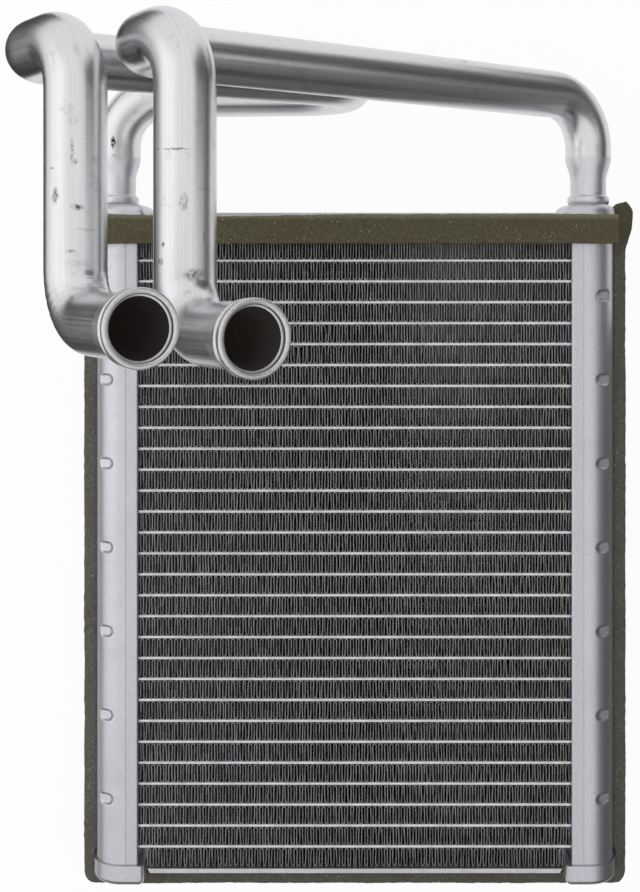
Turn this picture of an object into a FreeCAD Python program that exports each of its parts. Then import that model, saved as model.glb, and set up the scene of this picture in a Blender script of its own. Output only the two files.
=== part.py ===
import FreeCAD, Part
import math
import os
from FreeCAD import Vector

# Heater core of brazed aluminium, lying on its back. Millimetres.
# +X runs across the core, +Y from the bottom caps towards the two pipes, +Z out of the front face.
# The origin is the middle of the core, on the plane that the back of the caps lies on.

# Flat tubes, which carry the coolant from one header to the other
TUBE_COUNT = 30
TUBE_PITCH = 7.27
TUBE_THICKNESS = 1.4
TUBE_DEPTH = 22.0
TUBE_WALL = 0.3
TUBE_REACH = 1.0

# Folded fins between the tubes. The real folds lie three times as close and are a third as thick.
FIN_SETBACK = 0.2
FIN_FOLD_SPACING = 3.1
FIN_GAUGE = 0.22
FIN_ROWS_PER_BANK = 4
END_ROW_HEIGHT_BOTTOM = 5.87
END_ROW_HEIGHT_TOP = 7.0
END_ROW_INSET = 2.4

# Side plates above and below the block of tubes and fins
SIDE_PLATE_THICKNESS = 1.5
SIDE_PLATE_INSET = 3.3
SIDE_PLATE_TAPER = 0.8

# Headers: a slotted plate towards the tubes and a D-shaped tank outside it
CORE_WIDTH = 149.8
HEADER_SHOULDER = 2.0
HEADER_WIDTH = 16.0
HEADER_WALL = 1.5
HEADER_OVERHANG = 8.6
PLATE_LEG = 4.2
PLATE_CORNER_RADIUS = 0.9
TANK_CORNER_RADIUS = 10.0
LAP_LENGTH = 1.1
BRAZE_GAP = 0.05
LEAST_CORNER_RADIUS = 0.2

# Pressed dimples along the outer side of each tank
DIMPLE_COUNT = 7
DIMPLE_TUBES_APART = 4
DIMPLE_SHIFT = -1.3
DIMPLE_HEIGHT = 3.7
DIMPLE_REACH = 5.7
DIMPLE_PRESS = 0.9

# Cups over the four ends of the headers
CAP_WALL = 0.8
CAP_INBOARD_WALL = 2.0
CAP_LAP = 3.15
CAP_RISE = 3.8
CAP_SHELL = 1.3
CAP_SHOULDER_TOP = 3.2
CAP_SHOULDER_BOTTOM = 2.0

# Pipes
PIPE_DIAMETER = 16.0
PIPE_WALL = 1.1
NECK_DIAMETER = 12.5
NECK_INSERT = 3.0
NECK_LENGTH = 5.4
FLARE_LENGTH = 8.2
BEAD_DIAMETER = 14.7
BEAD_HEIGHT = 3.2
BEAD_FOOT = 0.3
LEFT_STUB_SHIFT = 1.3
STUB_BEND_RADIUS = 18.2
BEND_RADIUS = 14.0
RUN_RISE = 38.0
RUN_ANGLE = 36.3
FRONT_RUN_LENGTH = 180.0
FRONT_LEG_FORWARD = 32.3
FRONT_LEG_DROP = 76.7
FRONT_LEG_END = 38.2
REAR_RUN_RISE = 1.1
REAR_RUN_ANGLE = 4.6
U_TURN_RADIUS = 20.0
RUN_CLEARANCE = 6.2
RETURN_FALL = 0.9
LEG_SPACING = 21.9
REAR_LEG_FORWARD = 37.1
REAR_LEG_DROP = 72.9
REAR_LEG_END = 42.5
END_ANGLE = 32.3

# Rolled end of each pipe: a lip, a groove behind it, a bead and a bored-out mouth
LIP_RISE = 1.45
LIP_LAND = 1.0
LIP_ROUND = 0.45
GROOVE_WIDTH = 0.6
GROOVE_RISE = 0.9
BACK_BEAD_RISE = 1.35
BACK_BEAD_WIDTH = 2.0
BACK_BEAD_CREST = 1.1
MOUTH_STEP = 0.35
MOUTH_DEPTH = 2.6
MOUTH_TAPER = 0.7
SOCKET_STEP = 0.3
END_FORM_LENGTH = 10.0
SOCKET_START = 1.0

# Foam: one strip round the sides and the bottom, one across the front at the top
FOAM_THICKNESS = 4.9
FOAM_BOTTOM_THICKNESS = 4.3
FOAM_WIDTH = 16.9
FOAM_GAP = 0.1
FOAM_CORNER_RADIUS = 4.5
FOAM_RAMP = 2.6
FOAM_FLAP_LENGTH = 16.2
FOAM_FLAP_LEAN = 2.7
FOAM_FLAP_CURL = 0.4
FOAM_FLAP_POINT = 1.6
FOAM_TOP_HEIGHT = 10.4
FOAM_TOP_THICKNESS = 3.0
FOAM_TOP_EDGE = 114.2
FOAM_TOP_DIP = 0.9
FOAM_TOP_ROUND = 0.9

# How far a cutting solid stands past what it cuts, and how near two edges' places count as the same
MARGIN = 1.0
SAME = 0.01

# Places that follow from the sizes above
HEADER_DEPTH = TUBE_DEPTH + 2 * HEADER_SHOULDER
FIN_DEPTH = TUBE_DEPTH - 2 * FIN_SETBACK
HEADER_BACK = CAP_WALL + BRAZE_GAP
HEADER_FRONT = HEADER_BACK + HEADER_DEPTH
MID_DEPTH = (HEADER_BACK + HEADER_FRONT) / 2
PLATE_FACE = CORE_WIDTH / 2
HEADER_OUTER = PLATE_FACE + HEADER_WIDTH
SEAM = PLATE_FACE + PLATE_LEG
HEADER_CENTRE = (PLATE_FACE + HEADER_OUTER) / 2
LAST_TUBE = TUBE_PITCH * (TUBE_COUNT - 1) / 2
HEADER_END = LAST_TUBE + HEADER_OVERHANG
CAP_RIM = HEADER_END - CAP_LAP
CAP_END = HEADER_END + CAP_RISE
CAP_OUTER = HEADER_OUTER + BRAZE_GAP + CAP_WALL
ROW_HEIGHT = TUBE_PITCH - TUBE_THICKNESS
PIPE_RADIUS = PIPE_DIAMETER / 2
BORE_RADIUS = PIPE_RADIUS - PIPE_WALL
RUN_HEIGHT = CAP_END + RUN_RISE


def tube_y(index):
    """Height of one tube's middle, counted from the bottom."""
    return -LAST_TUBE + index * TUBE_PITCH


def prism_y(outline, low, high):
    """A flat outline of (x, z) edges, drawn at y = 0, as a solid from low to high."""
    face = Part.Face(outline)
    face.translate(Vector(0, low, 0))
    return face.extrude(Vector(0, high - low, 0))


def polygon_prism(points, low, high):
    """A polygon of (x, y) points as a solid from z = low to z = high."""
    corners = [Vector(x, y, low) for x, y in points]
    wire = Part.makePolygon(corners + corners[:1])
    return Part.Face(wire).extrude(Vector(0, 0, high - low))


def mirrored(shape):
    """The same piece on the other side of the core."""
    return shape.mirror(Vector(0, 0, 0), Vector(1, 0, 0))


def flat_oval(depth, thickness, length):
    """A flat tube's outside, along X, with rounded long edges."""
    radius = thickness / 2
    half = depth / 2 - radius
    low, high = Vector(0, -radius, -half), Vector(0, -radius, half)
    top, end = Vector(0, radius, half), Vector(0, radius, -half)
    edges = [
        Part.LineSegment(low, high).toShape(),
        Part.Arc(high, Vector(0, 0, half + radius), top).toShape(),
        Part.LineSegment(top, end).toShape(),
        Part.Arc(end, Vector(0, 0, -half - radius), low).toShape(),
    ]
    solid = Part.Face(Part.Wire(edges)).extrude(Vector(length, 0, 0))
    solid.translate(Vector(-length / 2, 0, MID_DEPTH))
    return solid


def tube(index):
    """One flat tube, with its ends standing a little way inside both headers."""
    length = CORE_WIDTH + 2 * (HEADER_WALL + TUBE_REACH)
    outside = flat_oval(TUBE_DEPTH, TUBE_THICKNESS, length)
    inside = flat_oval(TUBE_DEPTH - 2 * TUBE_WALL, TUBE_THICKNESS - 2 * TUBE_WALL, length + MARGIN)
    hollow = outside.cut(inside)
    hollow.translate(Vector(0, tube_y(index), 0))
    return hollow


def fin_row(low, high, half_width):
    """One folded strip between two heights, its crests touching what lies above and below."""
    folds = max(2, round(2 * half_width / FIN_FOLD_SPACING))
    step = 2 * half_width / folds
    slope = math.atan2(high - low, step)
    upright = FIN_GAUGE / math.cos(slope)
    under = []
    for i in range(folds + 1):
        y = low if i % 2 == 0 else high - upright
        under.append((-half_width + i * step, y))
    over = [(x, y + upright) for x, y in reversed(under)]
    back = MID_DEPTH - FIN_DEPTH / 2
    return polygon_prism(under + over, back, back + FIN_DEPTH)


def fin_rows():
    """Every folded strip, from the bottom side plate to the top one."""
    end_half = PLATE_FACE - END_ROW_INSET
    face = LAST_TUBE + TUBE_THICKNESS / 2
    rows = [fin_row(-face - END_ROW_HEIGHT_BOTTOM, -face, end_half)]
    for i in range(TUBE_COUNT - 1):
        low = tube_y(i) + TUBE_THICKNESS / 2
        rows.append(fin_row(low, low + ROW_HEIGHT, PLATE_FACE - BRAZE_GAP))
    rows.append(fin_row(face, face + END_ROW_HEIGHT_TOP, end_half))
    return rows


def side_plate(inner, outward):
    """A flat strip brazed to the end row of fins, with tapered ends."""
    half = PLATE_FACE - SIDE_PLATE_INSET
    outer = inner + outward * SIDE_PLATE_THICKNESS
    short = half - SIDE_PLATE_TAPER
    points = [(-half, inner), (half, inner), (short, outer), (-short, outer)]
    return polygon_prism(points, HEADER_BACK, HEADER_FRONT)


def header_outline(inner, outer, grow, inner_radius, outer_radius):
    """Outline of a header in (x, z): rounded inboard corners and larger rounded outboard ones."""
    low, high = HEADER_BACK - grow, HEADER_FRONT + grow
    diagonal = 1 - math.sqrt(0.5)
    corners = [
        (inner, low, 1, 1, inner_radius),
        (outer, low, -1, 1, outer_radius),
        (outer, high, -1, -1, outer_radius),
        (inner, high, 1, -1, inner_radius),
    ]
    arcs = []
    for number, (x, z, dx, dz, radius) in enumerate(corners):
        along = Vector(x + dx * radius, 0, z)
        beside = Vector(x, 0, z + dz * radius)
        middle = Vector(x + dx * radius * diagonal, 0, z + dz * radius * diagonal)
        first, last = (beside, along) if number % 2 == 0 else (along, beside)
        arcs.append((first, middle, last))
    edges = []
    for number, (first, middle, last) in enumerate(arcs):
        edges.append(Part.Arc(first, middle, last).toShape())
        following = arcs[(number + 1) % len(arcs)][0]
        edges.append(Part.LineSegment(last, following).toShape())
    return Part.Wire(edges)


def header_prism(inset, low, high):
    """The header's outside as a solid, drawn in by inset all round."""
    outline = header_outline(
        PLATE_FACE + inset, HEADER_OUTER - inset, -inset,
        max(PLATE_CORNER_RADIUS - inset, LEAST_CORNER_RADIUS), TANK_CORNER_RADIUS - inset)
    return prism_y(outline, low, high)


def box_between(low, high):
    """A box from its lowest to its highest corner."""
    size = high - low
    return Part.makeBox(size.x, size.y, size.z, low)


def lap_boxes(x_low, x_high, z_out, z_in):
    """Two strips, at the back and front walls of a header, between two depths into the wall."""
    back = box_between(
        Vector(x_low, -HEADER_END - MARGIN, HEADER_BACK + z_out),
        Vector(x_high, HEADER_END + MARGIN, HEADER_BACK + z_in))
    front = box_between(
        Vector(x_low, -HEADER_END - MARGIN, HEADER_FRONT - z_in),
        Vector(x_high, HEADER_END + MARGIN, HEADER_FRONT - z_out))
    return [back, front]


def header_plate():
    """The right header plate: a slotted channel that takes the tubes' ends."""
    past = HEADER_END + MARGIN
    shell = header_prism(0, -HEADER_END, HEADER_END).cut(header_prism(HEADER_WALL, -past, past))
    keep = box_between(
        Vector(PLATE_FACE - MARGIN, -past, HEADER_BACK - MARGIN), Vector(SEAM, past, HEADER_FRONT + MARGIN))
    plate = shell.common(keep)
    half_wall = HEADER_WALL / 2
    laps = lap_boxes(SEAM - LAP_LENGTH - BRAZE_GAP, SEAM + MARGIN, half_wall, HEADER_WALL + MARGIN)
    slot = flat_oval(TUBE_DEPTH + 2 * BRAZE_GAP, TUBE_THICKNESS, CORE_WIDTH * 2)
    slots = []
    for i in range(TUBE_COUNT):
        cutter = slot.copy()
        cutter.translate(Vector(0, tube_y(i), 0))
        slots.append(cutter)
    return plate.cut(laps + slots)


def dimple_prints():
    """The stretches that the dimples cover, seen from the front, as prisms through the header."""
    radius = DIMPLE_HEIGHT / 2
    centre_x = HEADER_OUTER - DIMPLE_REACH + radius
    depth = HEADER_FRONT + MARGIN
    prints = []
    for i in range(DIMPLE_COUNT):
        y = (i - (DIMPLE_COUNT - 1) / 2) * DIMPLE_TUBES_APART * TUBE_PITCH + DIMPLE_SHIFT
        bar = box_between(
            Vector(centre_x, y - radius, 0), Vector(HEADER_OUTER + MARGIN, y + radius, depth))
        nose = Part.makeCylinder(radius, depth, Vector(centre_x, y, 0), Vector(0, 0, 1))
        prints.append(bar.fuse(nose))
    return prints


def dented(inset, length):
    """The header's outside drawn in by inset, with the dimples pressed into it."""
    whole = header_prism(inset, -length, length)
    core = header_prism(inset + DIMPLE_PRESS, -length, length)
    skin = whole.cut(core)
    return whole.cut([skin.common(mark) for mark in dimple_prints()])


def tank():
    """The right tank: a D-shaped shell with dimples, half-lapped onto the header plate."""
    shell = dented(0, HEADER_END).cut(dented(HEADER_WALL, HEADER_END + MARGIN))
    start = SEAM - LAP_LENGTH
    keep = box_between(
        Vector(start, -HEADER_END - MARGIN, HEADER_BACK - MARGIN),
        Vector(HEADER_OUTER + MARGIN, HEADER_END + MARGIN, HEADER_FRONT + MARGIN))
    half_wall = HEADER_WALL / 2
    laps = lap_boxes(start - MARGIN, SEAM + BRAZE_GAP, -MARGIN, half_wall)
    return shell.common(keep).cut(laps)


def cap_outside(shoulder):
    """The outside of a cap at the top end, with a rounded shoulder."""
    grow = CAP_WALL + BRAZE_GAP
    outline = header_outline(
        PLATE_FACE - CAP_INBOARD_WALL, CAP_OUTER, grow,
        PLATE_CORNER_RADIUS + grow, TANK_CORNER_RADIUS + grow)
    solid = prism_y(outline, CAP_RIM, CAP_END)
    edges = [e for e in solid.Edges if e.BoundBox.YMin > CAP_END - SAME]
    return solid.makeFillet(shoulder, edges)


def cap(shoulder, stub_x=None):
    """A cap for the right header's top end: a cup with a seat for the header and a hollow above it."""
    pocket = header_prism(-BRAZE_GAP, CAP_RIM - MARGIN, HEADER_END)
    hollow = header_prism(CAP_SHELL, CAP_RIM - MARGIN, CAP_END - CAP_SHELL)
    body = cap_outside(shoulder).cut([pocket, hollow])
    if stub_x is None:
        return body
    hole = Part.makeCylinder(
        NECK_DIAMETER / 2 + BRAZE_GAP, CAP_RISE + MARGIN, Vector(stub_x, HEADER_END, MID_DEPTH), UP)
    return body.cut(hole)


def bottom_cap():
    """The right header's bottom cap, with no opening."""
    return cap(CAP_SHOULDER_BOTTOM).mirror(Vector(0, 0, 0), Vector(0, 1, 0))


def turned(steps, origin, axis, across):
    """A ring turned about an axis. Steps are (distance along, radius), or a pair of them for an arc."""
    def place(step):
        return origin + axis * step[0] + across * step[1]

    edges = []
    here = place(steps[0])
    for step in steps[1:] + steps[:1]:
        if isinstance(step[0], tuple):
            middle, end = place(step[0]), place(step[1])
            edges.append(Part.Arc(here, middle, end).toShape())
        else:
            end = place(step)
            edges.append(Part.LineSegment(here, end).toShape())
        here = end
    return Part.Face(Part.Wire(edges)).revolve(origin, axis, 360)


class Route:
    """A pipe's centre line, made as a bender makes it: straight lengths joined by tangent arcs."""

    def __init__(self, start, heading):
        """Begins at a point, facing along a unit vector."""
        self.point = start
        self.heading = heading
        self.edges = []
        self.length = 0.0

    def straight(self, length):
        """Goes straight on."""
        end = self.point + self.heading * length
        self.edges.append(Part.LineSegment(self.point, end).toShape())
        self.length += length
        self.point = end

    def bend(self, heading, radius):
        """Turns to a new heading on an arc."""
        angle = self.heading.getAngle(heading)
        inward = heading - self.heading * self.heading.dot(heading)
        inward.normalize()
        centre = self.point + inward * radius

        def at(turn):
            return centre - inward * (radius * math.cos(turn)) + self.heading * (radius * math.sin(turn))

        end = at(angle)
        self.edges.append(Part.Arc(self.point, at(angle / 2), end).toShape())
        self.length += radius * angle
        self.point = end
        self.heading = heading

    def sweep(self, radius):
        """A round bar of one radius along the whole line."""
        start = self.edges[0].valueAt(self.edges[0].FirstParameter)
        first = self.edges[0].tangentAt(self.edges[0].FirstParameter)
        circle = Part.Wire(Part.makeCircle(radius, start, first))
        return Part.Wire(self.edges).makePipeShell([circle], True, True)


def plan_heading(angle, fall=0.0):
    """Unit vector that leaves -X towards +Z by an angle, and falls by another, in degrees."""
    turn, drop = math.radians(angle), math.radians(fall)
    return Vector(-math.cos(turn) * math.cos(drop), -math.sin(drop), math.sin(turn) * math.cos(drop))


def tangent_length(radius, before, after):
    """Distance from a bend's start to the corner that it rounds."""
    return radius * math.tan(before.getAngle(after) / 2)


UP = Vector(0, 1, 0)
DOWN = Vector(0, -1, 0)
ALONG = plan_heading(RUN_ANGLE)
FORWARD = Vector(math.sin(math.radians(RUN_ANGLE)), 0, math.cos(math.radians(RUN_ANGLE)))
END_HEADING = Vector(math.sin(math.radians(END_ANGLE)), 0, math.cos(math.radians(END_ANGLE)))
RIGHT_STUB = Vector(HEADER_CENTRE, RUN_HEIGHT, MID_DEPTH)
LEFT_STUB = Vector(-HEADER_CENTRE - LEFT_STUB_SHIFT, RUN_HEIGHT + REAR_RUN_RISE, MID_DEPTH)
FRONT_CORNER = RIGHT_STUB + ALONG * FRONT_RUN_LENGTH
RUN_SPACING = PIPE_DIAMETER + RUN_CLEARANCE
STUB_START = CAP_END + BEAD_HEIGHT + NECK_LENGTH + FLARE_LENGTH


def front_leg(route, forward, drop, end):
    """From the corner of a run: forward, down past the run's end and forward again to the mouth."""
    route.straight(forward - 2 * BEND_RADIUS)
    route.bend(DOWN, BEND_RADIUS)
    route.straight(drop - BEND_RADIUS - tangent_length(BEND_RADIUS, DOWN, END_HEADING))
    route.bend(END_HEADING, BEND_RADIUS)
    route.straight(end - BEND_RADIUS - END_FORM_LENGTH)


def front_route():
    """The pipe that leaves the right header and crosses over the core in front."""
    route = Route(Vector(RIGHT_STUB.x, STUB_START, MID_DEPTH), UP)
    route.straight(RUN_HEIGHT - STUB_START - STUB_BEND_RADIUS)
    route.bend(ALONG, STUB_BEND_RADIUS)
    route.straight(FRONT_RUN_LENGTH - STUB_BEND_RADIUS - BEND_RADIUS)
    route.bend(FORWARD, BEND_RADIUS)
    front_leg(route, FRONT_LEG_FORWARD, FRONT_LEG_DROP, FRONT_LEG_END)
    return route


def crossing(start, heading, other_start, other_heading):
    """Distance along the first line, in plan, to where it crosses the second."""
    gap = other_start - start
    across = heading.x * other_heading.z - heading.z * other_heading.x
    return (gap.x * other_heading.z - gap.z * other_heading.x) / across


def rear_route():
    """The pipe that leaves the left header, crosses behind, turns back and comes forward."""
    rear = Vector(math.cos(math.radians(REAR_RUN_ANGLE)), 0, math.sin(math.radians(REAR_RUN_ANGLE)))
    back = plan_heading(RUN_ANGLE, RETURN_FALL)
    corner = crossing(LEFT_STUB, rear, RIGHT_STUB - FORWARD * RUN_SPACING, ALONG)
    route = Route(Vector(LEFT_STUB.x, STUB_START, MID_DEPTH), UP)
    route.straight(LEFT_STUB.y - STUB_START - STUB_BEND_RADIUS)
    route.bend(rear, STUB_BEND_RADIUS)
    route.straight(corner - STUB_BEND_RADIUS - tangent_length(U_TURN_RADIUS, rear, back))
    route.bend(back, U_TURN_RADIUS)
    leg_corner = FRONT_CORNER + ALONG * LEG_SPACING - FORWARD * RUN_SPACING
    left = (leg_corner - route.point).dot(ALONG) / back.dot(ALONG)
    route.straight(left - tangent_length(BEND_RADIUS, back, FORWARD))
    route.bend(FORWARD, BEND_RADIUS)
    front_leg(route, REAR_LEG_FORWARD, REAR_LEG_DROP, REAR_LEG_END)
    return route


def neck(stub_x):
    """The necked start of a pipe: a spigot in the cap, a bead that sits on it and a flare."""
    outer, inner = NECK_DIAMETER / 2, NECK_DIAMETER / 2 - PIPE_WALL
    bead, rise = BEAD_DIAMETER / 2, BEAD_HEIGHT
    top = rise + NECK_LENGTH
    end = top + FLARE_LENGTH
    middle = (top + end) / 2
    waist = (NECK_DIAMETER / 2 + PIPE_RADIUS) / 2
    bend = FLARE_LENGTH / 4
    swell = (PIPE_RADIUS - NECK_DIAMETER / 2) / 8
    steps = [
        (-NECK_INSERT, inner), (-NECK_INSERT, outer), (0, outer), (0, bead - rise / 4),
        ((rise / 2, bead), (rise, outer + BEAD_FOOT)),
        (top, outer),
        ((top + bend, outer + swell), (middle, waist)),
        ((end - bend, PIPE_RADIUS - swell), (end, PIPE_RADIUS)),
        (end, BORE_RADIUS),
        ((end - bend, BORE_RADIUS - swell), (middle, waist - PIPE_WALL)),
        ((top + bend, inner + swell), (top, inner)),
    ]
    return turned(steps, Vector(stub_x, CAP_END, MID_DEPTH), UP, Vector(1, 0, 0))


def end_form(point, heading):
    """The rolled mouth of a pipe, from the end of its straight to its front face."""
    across = heading.cross(UP)
    tip = END_FORM_LENGTH
    lip = PIPE_RADIUS + LIP_RISE
    mouth = PIPE_RADIUS - MOUTH_STEP
    land = tip - LIP_ROUND - LIP_LAND
    groove_front = land - LIP_ROUND
    groove_back = groove_front - GROOVE_WIDTH
    bead_back = groove_back - BACK_BEAD_WIDTH
    bead = PIPE_RADIUS + BACK_BEAD_RISE
    floor = PIPE_RADIUS + GROOVE_RISE
    turn = LIP_ROUND * (1 - math.sqrt(0.5))
    socket = BORE_RADIUS + SOCKET_STEP
    steps = [
        (0, BORE_RADIUS), (0, PIPE_RADIUS), (bead_back, PIPE_RADIUS),
        ((bead_back + BACK_BEAD_CREST, bead), (groove_back, floor)),
        (groove_front, floor), (groove_front, lip - LIP_ROUND),
        ((groove_front + turn, lip - turn), (land, lip)),
        (tip - LIP_ROUND, lip),
        ((tip - turn, lip - turn), (tip, lip - LIP_ROUND)),
        (tip, mouth + LIP_ROUND),
        ((tip - turn, mouth + turn), (tip - LIP_ROUND, mouth)),
        (tip - MOUTH_DEPTH, mouth), (tip - MOUTH_DEPTH - MOUTH_TAPER, socket),
        (SOCKET_START, socket), (SOCKET_START, BORE_RADIUS),
    ]
    return turned(steps, point, heading, across)


def pipe(route, stub_x, label):
    """A whole pipe: neck, bent tube and rolled mouth, hollow all the way through."""
    bar, bore = route.sweep(PIPE_RADIUS), route.sweep(BORE_RADIUS)
    expected = math.pi * PIPE_RADIUS ** 2 * route.length
    print(f"{label}: centre line {route.length:.1f} mm, volume {bar.Volume / expected:.4f} of section times length")
    mouth = end_form(route.point, route.heading)
    print(f"{label}: mouth face at {tuple(round(v, 3) for v in route.point + route.heading * END_FORM_LENGTH)}")
    print(f"{label}: mouth axis {tuple(round(v, 5) for v in route.heading)}")
    return bar.cut(bore).fuse([neck(stub_x), mouth]).removeSplitter()


def foam_surround():
    """The foam strip down both headers and under the bottom caps, with a loose flap at the top right."""
    beside = HEADER_OUTER
    past_cap = CAP_OUTER
    outside = HEADER_OUTER + FOAM_THICKNESS
    under = -CAP_END
    bottom = under - FOAM_BOTTOM_THICKNESS
    ramp = CAP_RIM - FOAM_RAMP
    flap = CAP_END - FOAM_FLAP_LENGTH
    tip = CAP_END
    lean = outside + FOAM_FLAP_LEAN
    points = [
        (-outside, tip), (-outside, bottom), (outside, bottom), (outside, flap),
        (lean - FOAM_FLAP_CURL, (flap + tip - FOAM_FLAP_POINT) / 2), (lean, tip - FOAM_FLAP_POINT),
        (lean - FOAM_FLAP_LEAN, tip + FOAM_FLAP_POINT), (past_cap, tip - FOAM_FLAP_POINT),
        (past_cap, CAP_RIM - FOAM_GAP), (beside, ramp),
        (beside, -ramp), (past_cap, -CAP_RIM + FOAM_GAP), (past_cap, under),
        (-past_cap, under), (-past_cap, -CAP_RIM + FOAM_GAP), (-beside, -ramp),
        (-beside, ramp), (-past_cap, CAP_RIM - FOAM_GAP), (-past_cap, tip),
    ]
    strip = polygon_prism(points, 0, FOAM_WIDTH)
    corners = []
    for edge in strip.Edges:
        box = edge.BoundBox
        upright = box.ZLength > FOAM_WIDTH - SAME
        if upright and abs(abs(box.XMin) - outside) < SAME and abs(box.YMin - bottom) < SAME:
            corners.append(edge)
    return strip.makeFillet(FOAM_CORNER_RADIUS, corners)


def foam_top_strip():
    """The foam strip glued across the front of the core at the top."""
    low = FOAM_TOP_EDGE - FOAM_TOP_HEIGHT
    back = HEADER_FRONT
    front = back + FOAM_TOP_THICKNESS
    points = [
        (-HEADER_OUTER, low), (HEADER_OUTER, low), (HEADER_OUTER, FOAM_TOP_EDGE),
        (0, FOAM_TOP_EDGE), (-HEADER_OUTER / 2, FOAM_TOP_EDGE - FOAM_TOP_DIP), (-HEADER_OUTER, FOAM_TOP_EDGE),
    ]
    strip = polygon_prism(points, back, front)
    edges = []
    for edge in strip.Edges:
        box = edge.BoundBox
        if box.ZMin > front - SAME and box.YMin > low + SAME and box.XLength > SAME:
            edges.append(edge)
    strip = strip.makeFillet(FOAM_TOP_ROUND, edges)
    relief = box_between(
        Vector(PLATE_FACE - CAP_INBOARD_WALL - FOAM_GAP, CAP_RIM - FOAM_GAP, 0),
        Vector(HEADER_OUTER + MARGIN, CAP_END, HEADER_FRONT + BRAZE_GAP + CAP_WALL + FOAM_GAP))
    return strip.cut([relief, mirrored(relief)])


def build():
    """Every piece by name."""
    pieces = {}
    for i in range(TUBE_COUNT):
        pieces[f"tube_{i + 1:02d}"] = tube(i)
    rows = fin_rows()
    for number, start in enumerate(range(0, len(rows), FIN_ROWS_PER_BANK)):
        pieces[f"fin_bank_{number + 1}"] = Part.makeCompound(rows[start:start + FIN_ROWS_PER_BANK])
    face = LAST_TUBE + TUBE_THICKNESS / 2
    pieces["side_plate_bottom"] = side_plate(-face - END_ROW_HEIGHT_BOTTOM, -1)
    pieces["side_plate_top"] = side_plate(face + END_ROW_HEIGHT_TOP, 1)
    pieces["header_plate_right"] = header_plate()
    pieces["header_plate_left"] = mirrored(pieces["header_plate_right"])
    pieces["tank_right"] = tank()
    pieces["tank_left"] = mirrored(pieces["tank_right"])
    pieces["bottom_cap_right"] = bottom_cap()
    pieces["bottom_cap_left"] = mirrored(pieces["bottom_cap_right"])
    pieces["top_cap_right"] = cap(CAP_SHOULDER_TOP, RIGHT_STUB.x)
    pieces["top_cap_left"] = mirrored(cap(CAP_SHOULDER_TOP, -LEFT_STUB.x))
    pieces["front_pipe"] = pipe(front_route(), RIGHT_STUB.x, "front_pipe")
    pieces["rear_pipe"] = pipe(rear_route(), LEFT_STUB.x, "rear_pipe")
    pieces["foam_surround"] = foam_surround()
    pieces["foam_top_strip"] = foam_top_strip()
    return pieces


os.makedirs("parts", exist_ok=True)
for name, shape in build().items():
    shape.exportStep(f"parts/{name}.step")
    print(f"{name}: {len(shape.Solids)} solid(s), {shape.Volume:.1f} mm3, valid {shape.isValid()}")
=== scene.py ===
import logging
import math
import random
from dataclasses import dataclass, field
from enum import Enum
from functools import partial
from typing import Callable, Sequence, Union

import bmesh
import bpy
import numpy as np
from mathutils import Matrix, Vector, noise


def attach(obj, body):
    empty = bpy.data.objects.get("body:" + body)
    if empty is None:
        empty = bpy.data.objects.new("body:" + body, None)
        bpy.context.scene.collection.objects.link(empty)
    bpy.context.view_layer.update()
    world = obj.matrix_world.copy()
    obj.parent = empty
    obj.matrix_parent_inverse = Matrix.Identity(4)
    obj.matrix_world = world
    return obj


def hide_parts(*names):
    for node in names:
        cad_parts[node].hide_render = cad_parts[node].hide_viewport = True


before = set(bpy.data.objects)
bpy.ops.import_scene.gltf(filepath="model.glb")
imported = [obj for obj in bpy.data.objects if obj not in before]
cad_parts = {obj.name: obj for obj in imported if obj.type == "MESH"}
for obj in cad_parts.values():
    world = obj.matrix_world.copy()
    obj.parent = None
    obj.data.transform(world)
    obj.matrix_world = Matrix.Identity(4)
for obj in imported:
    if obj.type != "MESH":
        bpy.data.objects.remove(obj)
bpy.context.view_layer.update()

MM = 0.001
ROOT = "root"
IMAGE_WIDTH, IMAGE_HEIGHT = 640, 892

log = logging.getLogger("heater_core")

Colour = tuple[float, float, float, float]
Socket = bpy.types.NodeSocket
Tree = bpy.types.NodeTree
Value = Union[Socket, float, str, Sequence[float]]
Adder = Callable[..., Socket]


def linear(hex_colour: str) -> Colour:
    """Turns an sRGB hex colour into Blender's linear colour.

    Args:
        hex_colour: six hex digits, with or without a leading #.

    Returns:
        Linear red, green, blue and an alpha of 1.
    """
    digits = hex_colour.lstrip("#")
    parts = [int(digits[i:i + 2], 16) / 255 for i in (0, 2, 4)]
    red, green, blue = (c / 12.92 if c <= 0.04045 else ((c + 0.055) / 1.055) ** 2.4 for c in parts)
    return red, green, blue, 1.0


def per_size(millimetres: float) -> float:
    """Scale for a procedural texture whose features are about this many millimetres wide."""
    return 1.0 / (millimetres * MM)


def add_node(
    tree: Tree,
    kind: str,
    inputs: Union[Sequence[Value], dict[Union[str, int], Value]] = (),
    output: Union[str, int] = 0,
    stops: Sequence[tuple[float, str]] = (),
    **settings: object,
) -> Socket | None:
    """Adds a shader node with its settings and links.

    Args:
        tree: the material's or world's node tree.
        kind: the node's type name.
        inputs: a socket, a value or an sRGB hex colour for each input, in order, or by name or number.
        output: the output that is wanted, by name or number.
        stops: places and hex colours of a colour ramp, where the node is one.
        settings: the node's own properties.

    Returns:
        The output, or None from a node that has no outputs.
    """
    node = tree.nodes.new(kind)
    for name, value in settings.items():
        setattr(node, name, value)
    for key, value in inputs.items() if isinstance(inputs, dict) else enumerate(inputs):
        if isinstance(value, bpy.types.NodeSocket):
            tree.links.new(value, node.inputs[key])
        else:
            node.inputs[key].default_value = linear(value) if isinstance(value, str) else value
    if stops:
        elements = node.color_ramp.elements
        while len(elements) > 1:
            elements.remove(elements[-1])
        elements[0].position, elements[0].color = stops[0][0], linear(stops[0][1])
        for place, colour in stops[1:]:
            elements.new(place).color = linear(colour)
    return node.outputs[output] if node.outputs else None


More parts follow.
